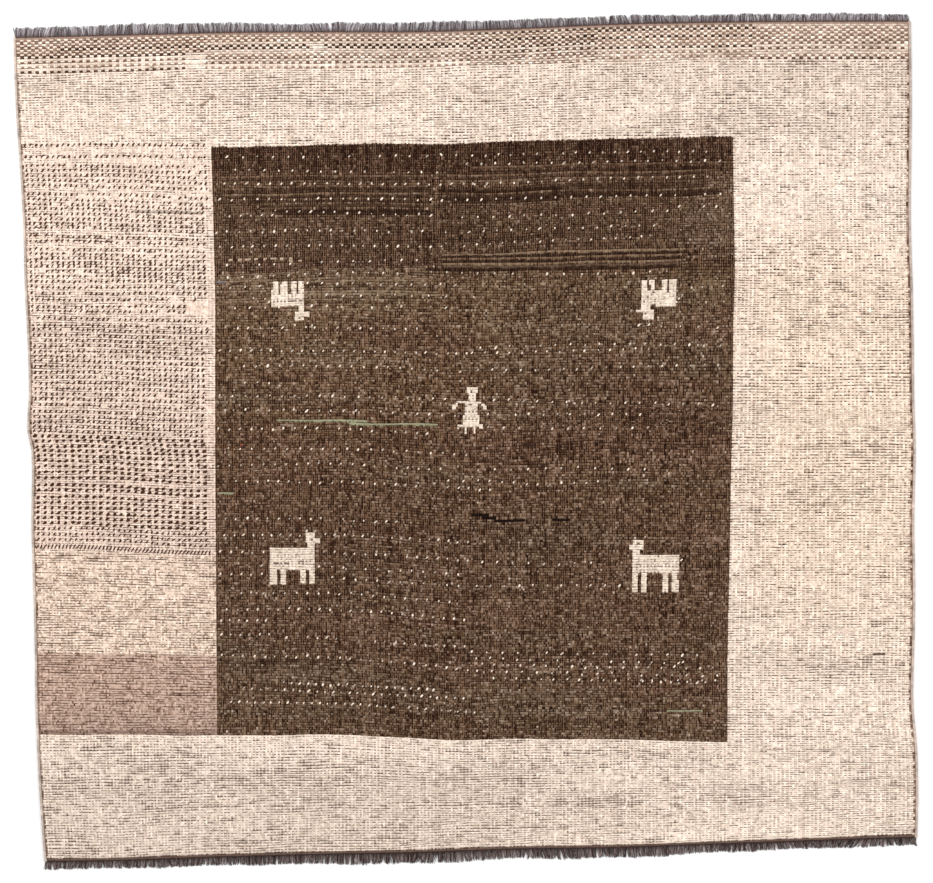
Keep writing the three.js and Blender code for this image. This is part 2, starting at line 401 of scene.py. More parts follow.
def chartField():
    left, right, bottom, top = loom["field"]
    field = (warpIndex > left) & (warpIndex < right) & (rowIndex > bottom) & (rowIndex < top)
    heights = [height for height, _ in fieldTones]
    tones = np.array([rgb for _, rgb in fieldTones], float)
    ground = np.stack([np.interp(knotPy, heights, tones[:, k]) for k in range(3)], -1)
    # broad areas of other fleece: grey at the upper right and round the goats, a red one along two rows
    grey = smooth(672, 700, knotPx) * smooth(170, 190, knotPy) * smooth(262, 240, knotPy)
    paint(ground, grey, (92, 74, 60), 0.7)
    edgeX, edgeY = (217, 250, 282, 300, 316, 345, 400, 440), (272, 272, 271, 269, 266.6, 266, 266.2, 266)
    below = knotPy - np.interp(knotPx, edgeX, edgeY)
    paint(ground, smooth(0, 3, below) * smooth(34, 22, below) * smooth(450, 420, knotPx), (98, 80, 62), 0.6)
    paint(ground, smooth(-9, -3, below) * (below < 0) * smooth(445, 430, knotPx), (44, 20, 12), 0.85)
    redLine = 214.5 - (knotPx - 500) * 0.045
    red = smooth(4, 1.5, np.abs(knotPy - redLine)) * smooth(490, 510, knotPx) * smooth(680, 665, knotPx)
    paint(ground, red, (58, 30, 20), 0.7)
    shade = smooth(470, 560, knotPx) * smooth(275, 300, knotPy) * smooth(480, 400, knotPy)
    paint(ground, shade, (62, 45, 33), 0.3)
    # some lots of the yarn are redder and some greyer
    lower = smooth(262, 285, knotPy)
    lots = 0.9 * clouds(chartShape, 22, 4) + 0.5 * clouds(chartShape, 45, 0.5)
    paint(ground, lower * smooth(0.2, 1.7, lots), (80, 54, 40), 0.5)
    paint(ground, lower * smooth(0.2, 1.7, -lots), (84, 69, 54), 0.5)
    # yarn spun from mixed fleece: every knot its own shade, short runs, and lots that change by the row
    light = 31 * draw.standard_normal(chartShape) + 9 * clouds(chartShape, 0.9, 0.3)
    light = light + 5 * clouds(chartShape, 60, 0.6) + 3 * clouds(chartShape, 12, 5)
    ground += (light * (1 - 0.3 * smooth(178, 166, knotPy)))[..., None]
    # short runs of nearly black wool along the rows
    runs = clouds(chartShape, 2.4, 0.25) + 0.6 * clouds(chartShape, 20, 3)
    paint(ground, lower * smooth(1.6, 2.3, runs), (34, 16, 8), 0.8)
    # specks of pale fleece, more of them below the middle
    specks = draw.random(chartShape)
    paint(ground, specks > 0.965 - 0.02 * smooth(300, 420, knotPy), (150, 130, 110), 0.6)
    # warps show as fine pale upright lines, mostly in the upper part and at the left
    warpAmount = 0.57 + 0.16 * smooth(300, 200, knotPy) - 0.3 * smooth(178, 166, knotPy)
    warpAmount = warpAmount + 0.1 * smooth(420, 250, knotPx) - 0.08 * smooth(300, 420, knotPy)
    warpAmount = warpAmount + 0.13 * warpTone + 0.16 * clouds(chartShape, 0.5, 5)
    warpAmount = warpAmount + 0.22 * draw.standard_normal(chartShape) + 0.07 * everyOther
    for start, stop, atX, atY, shade in fieldLines:
        column = np.argmin(np.abs(knotPx.mean(0) - atX))
        line = np.argmin(np.abs(knotPy[:, column] - atY))
        amount = smooth(start - 4, start + 4, knotPx[line]) * smooth(stop + 4, stop - 4, knotPx[line])
        amount = amount * abs(shade) * (0.9 + 0.15 * draw.standard_normal(len(amount)))
        amount = np.clip(amount, 0, 1)[:, None]
        tone = wool["lineDark"] if shade < 0 else wool["linePale"]
        ground[line] = ground[line] * (1 - amount) + tone * amount
        warpAmount[line] *= 1 - 0.8 * amount[:, 0] * (shade < 0)
    floorTone = np.array([32.0, 14.0, 4.0])
    chart[field] = np.clip(ground, floorTone, 215)[field]
    weft[field] = wool["weftField"]
    weftGap[field] = np.clip(0.6 + 0.22 * dashes + 0.35 * pecks, 0, 1)[field]
    warpGap[field] = np.clip(warpAmount, 0.02, 1)[field]
    # the field's own edge is a little darker and soft
    edge = field & ((warpIndex < left + 1.5) | (warpIndex > right - 1.5))
    paint(chart, edge, (82, 60, 46), 0.5)


chartField()


# Goats and the small figure, in blocks of knots

motifs = (  # blocks in the photograph's pixels: left, top, right, bottom
    (272, 294, 303.5, 307), (272, 282, 279, 294), (281, 282, 287, 294), (291, 282, 297, 294),
    (298, 282, 303.5, 294), (298.5, 307, 304, 311.5), (294, 311.5, 303.5, 322), (303.5, 311, 310, 317),
    (642, 290.7, 675.8, 306), (642, 280.4, 647.4, 291), (650, 280.4, 655, 291), (662, 280.4, 667, 291),
    (669.8, 280.4, 675.8, 291), (642, 301, 649.5, 310), (642, 309.6, 653, 320.5), (636, 309.5, 642, 313.5),
    (466, 387, 477, 394), (468, 393.5, 475, 401), (458.5, 400, 481.5, 403), (455, 403, 458.5, 406.5),
    (453, 406, 456, 409.5), (481, 403, 484.5, 406.5), (483.5, 406, 487, 410), (465, 402, 478, 416),
    (463, 414, 479, 424), (458, 423.5, 482, 428), (464, 428, 467, 434.5), (473.3, 428, 476.2, 434.5),
    (270.4, 547.6, 315, 570), (270.4, 570, 276.5, 583.7), (280, 570, 285.6, 583.7),
    (299.7, 570, 305.2, 583.7), (308.7, 570, 314.7, 583.7), (308, 542, 315, 548),
    (305, 533, 315, 542.6), (315, 538, 320, 542.2),
    (632, 555, 679, 573.4), (632, 573, 636.9, 591.5), (640.5, 573, 647, 591.5), (663, 573, 668.4, 591.5),
    (671.8, 573, 678, 591.5), (632.7, 549.5, 640.5, 555.3), (632.7, 540.7, 644, 550),
    (629, 545.6, 633, 549.4),
)
motifDots = (  # dotted dark lines on them, from one place to another, and how strong
    (273.8, 300.5, 301.6, 300.8, 0.6), (643.4, 301.7, 656, 288.3, 0.9), (465.3, 407.2, 472.3, 402.6, 0.9),
    (272.3, 564.5, 291, 564.8, 1.0), (296, 564.5, 306, 564.8, 0.9), (297.4, 561.4, 313.6, 561.6, 0.6),
    (276, 556, 300, 556.2, 0.3), (652.5, 564.3, 658.7, 556.2, 0.9), (636, 565.6, 674, 566.5, 0.4),
    (634, 572.3, 662, 572.6, 0.4), (464, 411, 478, 411.5, 0.4), (464, 418, 478, 418.3, 0.4),
)
motifEyes = ((299.8, 317.2), (646.1, 314.7), (470.7, 391.6), (311.4, 539), (638.1, 544.5), (480, 404.4))


def chartMotifs():
    cloth = np.zeros(chartShape, bool)
    for block in motifs:
        cloth |= inside(*block)
    chart[cloth] = (wool["ivory"] * 0.97 + (3 * clouds(chartShape, 2, 1) + 11 * speck)[..., None])[cloth]
    weft[cloth] = wool["weftBrown"]
    weftGap[cloth] = np.clip(0.22 + 0.3 * pecks + 0.12 * everyOther, 0, 1)[cloth]
    weftGap[cloth & (knotPy > 540)] += 0.25
    warpGap[cloth] = 0.05
    marks = np.zeros(chartShape)
    for x0, y0, x1, y1, strength in motifDots:
        dots = onLine(x0, y0, x1, y1, 1.25) & ((everyOther > 0) | (pecks > 1.1))
        marks[dots] = strength
    for x, y in motifEyes:
        marks[inside(x - 1.2, y - 1.3, x + 1.2, y + 1.3)] = 1.1
    dotted = marks > 0
    weft[dotted] = wool["weftDark"]
    weftGap[dotted] = 2.2 * marks[dotted]
    paint(chart, marks, wool["weftDark"], 0.42)


chartMotifs()


# The band of small checks along the top end

def chartBand():
    row = rowIndex.astype(int)
    warp = warpIndex.astype(int)
    even = (warp // 2 + row) % 2 == 0
    pairs = warp % 4 < 2
    x = knotPx
    # what each row of the band is, from the top down: the wool of every other pair of knots
    light, pink, mid, dark = (wool[name] for name in ("bandLight", "bandPink", "bandMid", "bandDark"))
    half = 0.5 * mid + 0.5 * dark
    soft = 0.55 * light + 0.45 * pink
    plans = (  # from and to along the band, then a wool for each of its fourteen rows, None where plain
        (0, 205, (pink, mid, pink, mid, dark, pink, mid, dark, None, mid, None, pink, None, half)),
        (205, 470, (pink, pink, mid, soft, dark, dark, soft, soft, pink, mid, soft, mid, None, pink)),
        (470, 597, (half, pink, pink, dark, mid, mid, dark, soft, half, soft, mid, pink, soft, pink)),
        (597, 754, (mid, dark, pink, pink, dark, pink, pink, pink, dark, soft, pink, soft, pink, soft)),
        (754, 940, (soft, pink, pink, pink, pink, mid, pink, mid, soft, mid, soft, soft, pink, half)),
    )
    plain = np.zeros(chartShape, bool)
    for start, stop, plan in plans:
        part = (x >= start) & (x < stop)
        for k, tone in enumerate(plan):
            line = part & (row == 327 - k)
            if tone is None:
                chart[line] = wool["bandLight"]
                plain |= line
                continue
            dotted = pairs if start == 0 and k > 6 else even
            chart[line & dotted] = light
            chart[line & ~dotted] = tone
            if start == 0 and k > 6:
                chart[line & (x > 187)] = wool["cream"]
    # the left part's dark rows fade out, and the second part's dark marks have a gap
    for spot in ((row == 323) & (x < 58), (row == 325) & (x > 205) & (x < 235)):
        chart[spot & ~even] = pink
    gap = (row >= 322) & (row <= 323) & (x > 310) & (x < 325)
    chart[gap] = light
    band = row >= 314
    lots = 9 * clouds(chartShape, 3.0, 0.3) + 6 * clouds(chartShape, 14, 2)
    chart[band] = np.clip(chart[band] + (lots + 9 * speck)[band][:, None], 12, 252)
    weft[band] = wool["weftDark"] * 0.3 + wool["weftBrown"] * 0.7
    weftGap[band] = np.clip(0.75 + 0.2 * dashes + 0.25 * pecks, 0, 1)[band]
    weftGap[band & plain] *= 0.4
    weftGap[band & (x > 597)] *= 0.72
    weftGap[band & (x > 205) & (x < 470)] *= 0.8


chartBand()


def chartStrayMarks():
    # short slanting lines in the cream near the top, where rows were filled in
    spots = ((465, 85, 490, 105), (640, 95, 680, 66), (705, 130, 730, 106), (150, 66, 164, 74),
             (200, 108, 214, 96), (748, 150, 752, 205), (798, 160, 800, 178))
    for x0, y0, x1, y1 in spots:
        paint(chart, onLine(x0, y0, x1, y1, 1.6) & (dashes > -0.3), wool["weftBrown"], 0.3)
    # a bare cream patch in the dotted panel, a thin grey line above it, and a faint upright line below
    weftGap[inside(187, 301, 213, 315)] *= 0.3
    paint(chart, onLine(134, 210, 205, 213, 1.0), wool["grey"], 0.6)
    paint(chart, (np.abs(knotPx - 157) < 1.0) & (knotPy > 590) & (knotPy < 760), wool["weftBrown"], 0.1)
    # a line of pale dashes above the left goat, two knots each
    for x in np.arange(230.7, 300, 8.55):
        paint(chart, inside(x - 2.1, 258.6, x + 2.1, 261.1), (205, 182, 160), 0.85)
    # a bluish repair at the field's left edge, a green line of yarn, a dark one, and two short green ones
    paint(chart, inside(217, 281.5, 225, 284.5), (120, 128, 140), 0.8)
    places = ((276.5, 420.9), (315, 419.9), (348, 421.3), (384, 423), (411.6, 424.4), (438, 425.6))
    line = np.interp(knotPx, [p[0] for p in places], [p[1] for p in places])
    green = (knotPx > 276) & (knotPx < 438) & (np.abs(knotPy - line) < 1.45)
    green |= inside(219, 492.2, 234, 495) | inside(667, 708.8, 702.5, 711.5)
    paint(chart, green, wool["green"], 0.85)
    dark = onLine(471.6, 514.4, 489, 515, 1.2) | onLine(482, 518.3, 525, 521.3, 1.35)
    dark |= onLine(553, 520.9, 569.6, 519.9, 1.2)
    paint(chart, dark, (18, 8, 4), 0.95)
    warpGap[green | dark] = 0
    paint(chart, inside(239.5, 444.4, 242.5, 447), wool["red"], 0.7)
    # a small pale arch and a crossing under the green line, and a dark stitch near the right cord
    arch = inside(280, 425, 293, 427.4) | inside(281.8, 427, 284, 430) | inside(291, 427, 293.2, 431)
    paint(chart, arch, (158, 138, 122), 0.75)
    paint(chart, inside(272.4, 427.6, 275.8, 431), (205, 185, 165), 0.6)
    stitch = onLine(873.2, 653.7, 884.6, 653.7, 1.25)
    paint(chart, stitch, wool["weftDark"], 0.6)
    weftGap[stitch] = 1.2


chartStrayMarks()
knotNoise = 1 + 0.03 * draw.standard_normal(chartShape)
chart = np.clip(chart * knotNoise[..., None], 4, 254)
print("chart drawn")


# Materials: spun wool for every piece, told apart by its own yarn colours

def addGroup(name, ins, outs):
    group = bpy.data.node_groups.new(name, "ShaderNodeTree")
    for label, kind, value in ins:
        socket = group.interface.new_socket(label, in_out="INPUT", socket_type=kind)
        if value is not None:
            socket.default_value = value
    for label, kind in outs:
        group.interface.new_socket(label, in_out="OUTPUT", socket_type=kind)
    return group, group.nodes.new("NodeGroupInput"), group.nodes.new("NodeGroupOutput")


def addNode(tree, kind, values=None, feeds=None, **settings):
    # a node with its settings, its fixed inputs and what feeds the others
    node = tree.nodes.new("ShaderNode" + kind)
    for name, value in settings.items():
        setattr(node, name, value)
    for socket, value in (values or {}).items():
        node.inputs[socket].default_value = value
    for socket, source in (feeds or {}).items():
        tree.links.new(source, node.inputs[socket])
    return node


def woolFibres():
    # fine wool hairs: colour varied by two noises, and a height for the bump
    group, put, out = addGroup(
        "woolFibres",
        (("Vector", "NodeSocketVector", None), ("Colour", "NodeSocketColor", None),
         ("Scale", "NodeSocketFloat", 900.0), ("Contrast", "NodeSocketFloat", 0.3),
         ("Shift", "NodeSocketFloat", 0.02)),
        (("Colour", "NodeSocketColor"), ("Height", "NodeSocketFloat"), ("Roughness", "NodeSocketFloat")),
    )
    given = put.outputs
    hair = addNode(group, "TexNoise", {"Detail": 3, "Roughness": 0.65},
                   {"Vector": given["Vector"], "Scale": given["Scale"]}).outputs["Fac"]
    fleck = addNode(group, "TexNoise", {"Scale": 430, "Detail": 2}, {"Vector": given["Vector"]})
    both = addNode(group, "Math", {}, {0: hair, 1: fleck.outputs["Fac"]}, operation="ADD")
    centred = addNode(group, "Math", {1: 1.0}, {0: both.outputs[0]}, operation="SUBTRACT").outputs[0]
    scaled = addNode(group, "Math", {2: 1.0}, {0: centred, 1: given["Contrast"]}, operation="MULTIPLY_ADD")
    tinted = addNode(group, "VectorMath", {}, {0: given["Colour"], "Scale": scaled.outputs[0]},
                     operation="SCALE")
    # dark wool shows its pale hairs as much as pale wool shows its dark ones
    shifted = addNode(group, "Math", {}, {0: centred, 1: given["Shift"]}, operation="MULTIPLY")
    mixed = addNode(group, "VectorMath", {}, {0: tinted.outputs[0], 1: shifted.outputs[0]},
                    operation="ADD")
    darkest = {1: (0.006, 0.004, 0.003)}
    clipped = addNode(group, "VectorMath", darkest, {0: mixed.outputs[0]}, operation="MAXIMUM")
    rough = addNode(group, "MapRange", {"To Min": 0.78, "To Max": 1.0}, {"Value": hair})
    for name, source in (("Colour", clipped.outputs[0]), ("Height", hair),
                         ("Roughness", rough.outputs["Result"])):
        group.links.new(source, out.inputs[name])
    return group


def knotLines():
    # the weft under each knot and the warp beside it, as masks from the knot's own coordinates
    group, put, out = addGroup(
        "knotLines",
        (("Knots", "NodeSocketVector", None),
         ("Weft", "NodeSocketFloat", 0.0), ("Warp", "NodeSocketFloat", 0.0),
         ("Weft width", "NodeSocketFloat", 0.34), ("Warp width", "NodeSocketFloat", 0.3)),
        (("Weft", "NodeSocketFloat"), ("Warp", "NodeSocketFloat")),
    )
    split = addNode(group, "SeparateXYZ", {}, {0: put.outputs["Knots"]})
    for axis, name in (("Y", "Weft"), ("X", "Warp")):
        width = put.outputs[name + " width"]
        part = addNode(group, "Math", {}, {0: split.outputs[axis]}, operation="FRACT")
        wide = addNode(group, "Math", {1: 1.5}, {0: width}, operation="MULTIPLY")
        narrow = addNode(group, "Math", {1: 0.6}, {0: width}, operation="MULTIPLY")
        line = addNode(
            group, "MapRange", {"To Min": 1.0, "To Max": 0.0},
            {"Value": part.outputs[0], "From Min": narrow.outputs[0], "From Max": wide.outputs[0]},
            interpolation_type="SMOOTHSTEP",
        )
        strength = addNode(group, "Math", {}, {0: line.outputs["Result"], 1: put.outputs[name]},
                           operation="MULTIPLY", use_clamp=True)
        group.links.new(strength.outputs[0], out.inputs[name])
    return group


groups = {"fibres": woolFibres(), "lines": knotLines()}


def woolMaterial(name, fibreScale, contrast, shift, bump, sheen, lines=False):
    material = bpy.data.materials.new(name)
    material.use_nodes = True
    tree = material.node_tree
    shader = tree.nodes["Principled BSDF"]
    for socket, value in (("Specular IOR Level", 0.03), ("Sheen Weight", sheen), ("Sheen Roughness", 0.6)):
        shader.inputs[socket].default_value = value

    def stored(label, output):
        return addNode(tree, "Attribute", attribute_name=label).outputs[output]

    colour = stored("yarn", "Color")
    if lines:
        knots = addNode(tree, "UVMap", uv_map="knots")
        under = addNode(
            tree, "Group", {},
            {"Knots": knots.outputs["UV"], "Weft": stored("weftGap", "Fac"),
             "Warp": stored("warpGap", "Fac")},
            node_tree=groups["lines"],
        )
        warpMix = addNode(tree, "Mix", {"B": tuple(linear(wool["paleWarp"])) + (1,)},
                          {"Factor": under.outputs["Warp"], "A": colour}, data_type="RGBA")
        weftMix = addNode(
            tree, "Mix", {},
            {"Factor": under.outputs["Weft"], "A": warpMix.outputs["Result"], "B": stored("weft", "Color")},
            data_type="RGBA",
        )
        colour = weftMix.outputs["Result"]
    place = addNode(tree, "TexCoord").outputs["Object"]
    fibres = addNode(tree, "Group", {"Scale": fibreScale, "Contrast": contrast, "Shift": shift},
                     {"Vector": place, "Colour": colour}, node_tree=groups["fibres"]).outputs
    relief = addNode(tree, "Bump", {"Strength": bump, "Distance": 0.0006}, {"Height": fibres["Height"]})
    for socket, source in (("Base Color", fibres["Colour"]), ("Roughness", fibres["Roughness"]),
                           ("Normal", relief.outputs["Normal"])):
        tree.links.new(source, shader.inputs[socket])
    return material


materials = {
    "pile": woolMaterial("pileWool", 900, 0.5, 0.02, 0.5, 0.02, lines=True),
    "back": woolMaterial("pileBackWool", 800, 0.5, 0.05, 0.4, 0.03),
    "tuft": woolMaterial("tuftWool", 1300, 0.35, 0.02, 0.5, 0.03),
    "cord": woolMaterial("cordWool", 1400, 0.6, 0.05, 0.6, 0.05),
    "warp": woolMaterial("warpWool", 1600, 0.7, 0.05, 0.6, 0.05),
}


def yarnLight(rgb):
    return linear(np.clip(np.asarray(rgb, float), 0, 255))


def makePiece(name, points, triangles, material, corner=None, uv=None):
    # triangles and their corner values go into the mesh as whole arrays
    mesh = bpy.data.meshes.new(name)
    count = len(triangles)
    mesh.vertices.add(len(points))
    mesh.vertices.foreach_set("co", np.ascontiguousarray(points, np.float32).ravel())
    mesh.loops.add(count * 3)
    mesh.loops.foreach_set("vertex_index", np.ascontiguousarray(triangles, np.int32).ravel())
    mesh.polygons.add(count)
    mesh.polygons.foreach_set("loop_start", np.arange(0, count * 3, 3, dtype=np.int32))
    mesh.update(calc_edges=True)
    mesh.shade_smooth()
    for label, values in (corner or {}).items():
        values = np.asarray(values, np.float32)
        if values.ndim == 2:
            layer = mesh.attributes.new(label, "FLOAT_COLOR", "CORNER")
            full = np.ones((len(values), 4), np.float32)
            full[:, :3] = values
            layer.data.foreach_set("color", full.ravel())
        else:
            layer = mesh.attributes.new(label, "FLOAT", "CORNER")
            layer.data.foreach_set("value", values)
    if uv is not None:
        layer = mesh.uv_layers.new(name="knots")
        layer.data.foreach_set("uv", np.ascontiguousarray(uv, np.float32).ravel())
    mesh.materials.append(material)
    piece = bpy.data.objects.new(name, mesh)
    bpy.context.scene.collection.objects.link(piece)
    return piece


def cellCorners(number):
    # the four corners of every cell of a numbered grid, in turn round the cell
    return (part.ravel() for part in (number[:-1, :-1], number[:-1, 1:], number[1:, 1:], number[1:, :-1]))


def edgeCells(loop, rows, across):
    # the cell beside each point of a grid's edge
    return np.clip(loop // (across + 1), 0, rows - 1), np.clip(loop % (across + 1), 0, across - 1)


def skirt(number, points, start, height):
    # the edge of a grid carried straight down to another height and closed there with a fan
    loop = np.concatenate([number[0, :-1], number[:-1, -1], number[-1, :0:-1], number[:0:-1, 0]])
    far = points[loop].copy()
    far[:, 2] = height
    ring = start + np.arange(len(loop))
    onward, ringOn = np.roll(loop, -1), np.roll(ring, -1)
    middle = np.full(len(loop), start + len(loop))
    faces = np.concatenate([
        np.stack([loop, ring, ringOn], -1), np.stack([loop, ringOn, onward], -1),
        np.stack([ringOn, ring, middle], -1),
    ])
    return loop, np.vstack([far, far.mean(0, keepdims=True)]), faces


def tube(steps, around):
    # the faces between rings of points carried along a path, and a fan over each end
    ring = np.arange(steps)[:, None] * around
    k = np.arange(around)[None]
    on = (k + 1) % around
    a, b, c, d = ring + k, ring + on, ring + around + on, ring + around + k
    skin = np.stack([np.stack([a, c, b], -1), np.stack([a, d, c], -1)], 2).reshape(-1, 3)
    cap = np.array([[0, i, i + 1] for i in range(1, around - 1)])
    return np.vstack([skin, cap, steps * around + cap[:, ::-1]])


# Pile: every knot is a small raised cushion between its four low corners

pile = {"low": 0.0064, "high": 0.0076, "highest": 0.0084, "rough": 0.00022, "jitter": 0.00025,
        "aside": 0.0003, "wander": 0.0010, "parting": 0.0003, "rimLow": 0.0052, "foot": 0.0026,
        "bands": ((0, 82), (82, 164), (164, 246), (246, 328))}

cornerRow, cornerWarp = np.meshgrid(
    np.arange(loom["rows"] + 1.0), np.arange(loom["across"] + 1.0), indexing="ij"
)
cornerX, cornerY = lay(cornerWarp, cornerRow)
innerCorner = np.zeros(cornerX.shape)
innerCorner[1:-1, 1:-1] = 1
cornerX = cornerX + innerCorner * pile["jitter"] * draw.standard_normal(cornerX.shape)
cornerY = cornerY + innerCorner * pile["jitter"] * draw.standard_normal(cornerX.shape)
# rows beaten down unevenly rise and fall a little along the rug
wander = pile["wander"] * (0.4 + 0.6 * smooth(318, 306, cornerRow))
cornerY = cornerY + innerCorner * wander * clouds(cornerX.shape, 10, 1.3)


def pileWave(x, y):
    # the face rises and falls a little, as two long waves
    return 0.00016 * np.sin(4.1 * x + 2.3 * y + 0.6) + 0.00012 * np.sin(7.7 * y - 3.1 * x + 2.0)


cornerRough = 0.5 * pile["rough"] * draw.standard_normal(cornerX.shape)
cornerZ = pile["low"] + pileWave(cornerX, cornerY) + cornerRough
cornerZ[1:, :-1] -= pile["parting"] * smooth(0.4, 1.0, weftGap)
cornerZ[[0, -1], :] = pile["rimLow"]
cornerZ[:, [0, -1]] = pile["rimLow"]
centreX, centreY = (
    (c[:-1, :-1] + c[:-1, 1:] + c[1:, :-1] + c[1:, 1:]) / 4 for c in (cornerX, cornerY)
)
centreZ = pile["high"] + pileWave(centreX, centreY) + pile["rough"] * draw.standard_normal(centreX.shape)
centreZ = np.minimum(centreZ, pile["highest"])
centreX = centreX + pile["aside"] * draw.standard_normal(centreX.shape)


def pileBand(name, firstRow, lastRow):
    rows = lastRow - firstRow
    across = loom["across"]
    corners = np.stack([a[firstRow : lastRow + 1].ravel() for a in (cornerX, cornerY, cornerZ)], -1)
    centres = np.stack([a[firstRow:lastRow].ravel() for a in (centreX, centreY, centreZ)], -1)
    number = np.arange((rows + 1) * (across + 1)).reshape(rows + 1, across + 1)
    top = len(corners) + np.arange(rows * across)
    a, b, c, d = cellCorners(number)
    knots = np.stack([
        np.stack([a, b, top], -1), np.stack([b, c, top], -1),
        np.stack([c, d, top], -1), np.stack([d, a, top], -1),
    ], 1).reshape(-1, 3)
    # the edge of the band goes straight down to the foundation and is closed underneath
    loop, foot, wall = skirt(number, corners, len(corners) + len(centres), pile["foot"])
    points = np.vstack([corners, centres, foot])
    triangles = np.vstack([knots, wall])

    def perCorner(values, spread):
        # a knot's value on its twelve triangle corners, and that of the nearest knot times spread on the
        # wall
        knotValues = np.repeat(values.reshape(rows * across, -1), 12, axis=0)
        edge = values[edgeCells(loop, rows, across)].reshape(len(loop), -1)
        return np.vstack([knotValues, np.repeat(np.vstack([edge] * 3) * spread, 3, axis=0)])

    part = slice(firstRow, lastRow)
    rowPart, warpPart = np.divmod(np.arange(rows * across), across)
    spot = {"a": (0, 0), "b": (1, 0), "c": (1, 1), "d": (0, 1), "top": (0.5, 0.5)}
    order = ("a", "b", "top", "b", "c", "top", "c", "d", "top", "d", "a", "top")
    inKnot = np.array([spot[s] for s in order]) * 0.998 + 0.001
    uv = np.stack([warpPart, rowPart + firstRow], -1)[:, None, :] + inKnot[None]
    uv = np.vstack([uv.reshape(-1, 2), np.full((len(loop) * 9, 2), 0.5)])
    piece = makePiece(name, points, triangles, materials["pile"], {
        # the walls take their nearest knot's yarn darkened to 0.8: painted shade on the band's sides
        "yarn": perCorner(yarnLight(chart[part]), 0.8),
        "weft": perCorner(yarnLight(weft[part]), 1.0),
        "weftGap": perCorner(weftGap[part], 0.0)[:, 0],
        "warpGap": perCorner(warpGap[part], 0.0)[:, 0],
    }, uv)
    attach(piece, "root")
    print(name, len(triangles), "triangles")
    return piece


bands = [pileBand(f"pileBand{k + 1}", *rows) for k, rows in enumerate(pile["bands"])]


# Back: the foundation with the knots' plain backs, one face for each nine knots

backing = {"across": 160, "rows": 109, "rough": 0.00025, "rim": 0.0004, "thick": 0.003, "shade": 0.95}


def rugBack():
    across, rows = backing["across"], backing["rows"]
    row, warp = np.meshgrid(
        np.linspace(0, loom["rows"], rows + 1), np.linspace(0, loom["across"], across + 1), indexing="ij"
    )
    x, y = lay(warp, row)
    z = backing["rough"] * draw.random(x.shape)
    z[[0, -1], :] = backing["rim"]
    z[:, [0, -1]] = backing["rim"]
    below = np.stack([x.ravel(), y.ravel(), z.ravel()], -1)
    number = np.arange(x.size).reshape(x.shape)
    a, b, c, d = cellCorners(number)
    under = np.stack([np.stack([a, d, c], -1), np.stack([a, c, b], -1)], 1).reshape(-1, 3)
    loop, cover, wall = skirt(number, below, len(below), backing["thick"])
    triangles = np.vstack([under, wall[:, ::-1]])
    # each face takes the wool of one of the knots over it
    seen = yarnLight(chart[::3, ::3][:rows, :across] * backing["shade"])
    edge = seen[edgeCells(loop, rows, across)]
    faceTone = np.vstack([np.repeat(seen.reshape(-1, 3), 2, axis=0), edge, edge, edge])
    piece = makePiece("rugBack", np.vstack([below, cover]), triangles, materials["back"],
                      {"yarn": np.repeat(faceTone, 3, axis=0)})
    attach(piece, "root")
    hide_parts("knotted_pile")
    print("rugBack", len(triangles), "triangles")
    return piece


back = rugBack()


# Tufts: the single knots of another wool stand a little proud and lean to the right

